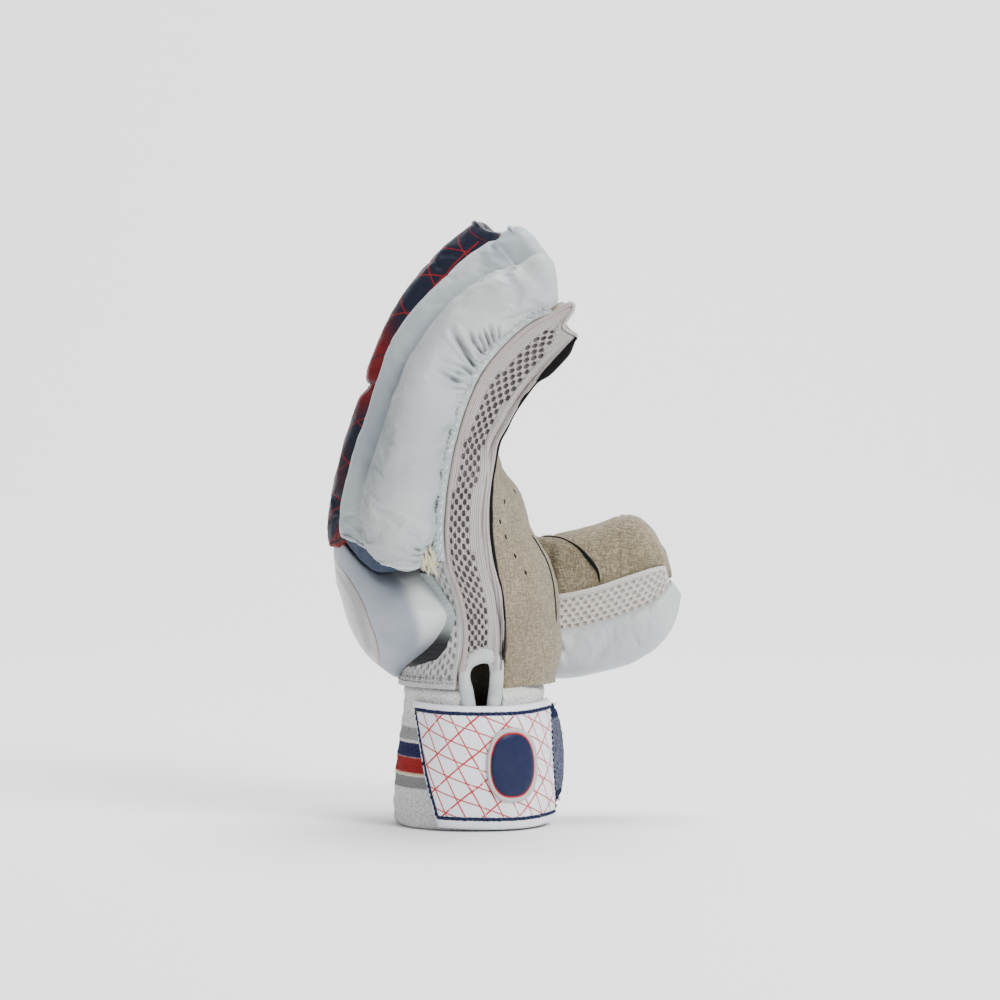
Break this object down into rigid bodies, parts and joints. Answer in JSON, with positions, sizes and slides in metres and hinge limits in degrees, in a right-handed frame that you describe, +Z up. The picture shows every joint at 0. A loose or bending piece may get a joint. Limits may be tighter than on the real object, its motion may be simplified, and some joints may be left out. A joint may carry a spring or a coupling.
{
  "type": "cricket batting glove",
  "caption": "Right-hand padded batting glove standing on its towelling wristband, fingers curled, with finger rolls, a knuckle pad, mesh gussets, suede palm and a separate padded thumb.",
  "frame": {"origin": "centre of the glove's outline seen from above, on the surface it stands on", "axes": "+Z up from the wrist to the fingertips, +X from the back of the hand towards the palm, +Y from the little finger towards the thumb"},
  "size_m": [0.1508, 0.1378, 0.2555],
  "materials": {
    "terry": "matte towelling, off-white with grey, navy and red bands",
    "strap_leather": "smooth, printed with thin red lines and a navy edge",
    "tab_cloth": "fuzzy hook-and-loop cloth with a navy edge",
    "badge": "moulded soft plastic with a grey rim",
    "white_leather": "soft smooth hide, satin",
    "palm_leather": "brushed suede, matte",
    "knit_mesh": "open spacer knit, matte",
    "band_cloth": "smooth navy cloth",
    "printed_leather": "smooth navy leather shading to red, with thin red lines"
  },
  "bodies": {
    "root": {"wristband": "terry", "wrist_strap": "strap_leather", "strap_tab": "tab_cloth", "strap_badge": "badge", "vent_binding": "white_leather", "palm": "palm_leather", "back_panel": "knit_mesh", "little_side_gusset": "knit_mesh", "index_side_gusset": "knit_mesh", "knuckle_pad": "white_leather", "knuckle_band": "band_cloth", "little_side_roll": "white_leather", "index_side_roll": "white_leather", "little_finger": "palm_leather", "ring_finger": "palm_leather", "middle_finger": "palm_leather", "index_finger": "palm_leather", "little_roll": "white_leather", "index_roll": "white_leather", "ring_roll_low": "printed_leather", "ring_roll_middle": "printed_leather", "ring_roll_tip": "printed_leather", "middle_roll_low": "printed_leather", "middle_roll_middle": "printed_leather", "middle_roll_tip": "printed_leather", "thumb": "palm_leather", "thumb_roll": "white_leather", "thumb_mesh_near": "knit_mesh", "thumb_mesh_far": "knit_mesh"}
  },
  "joints": []
}
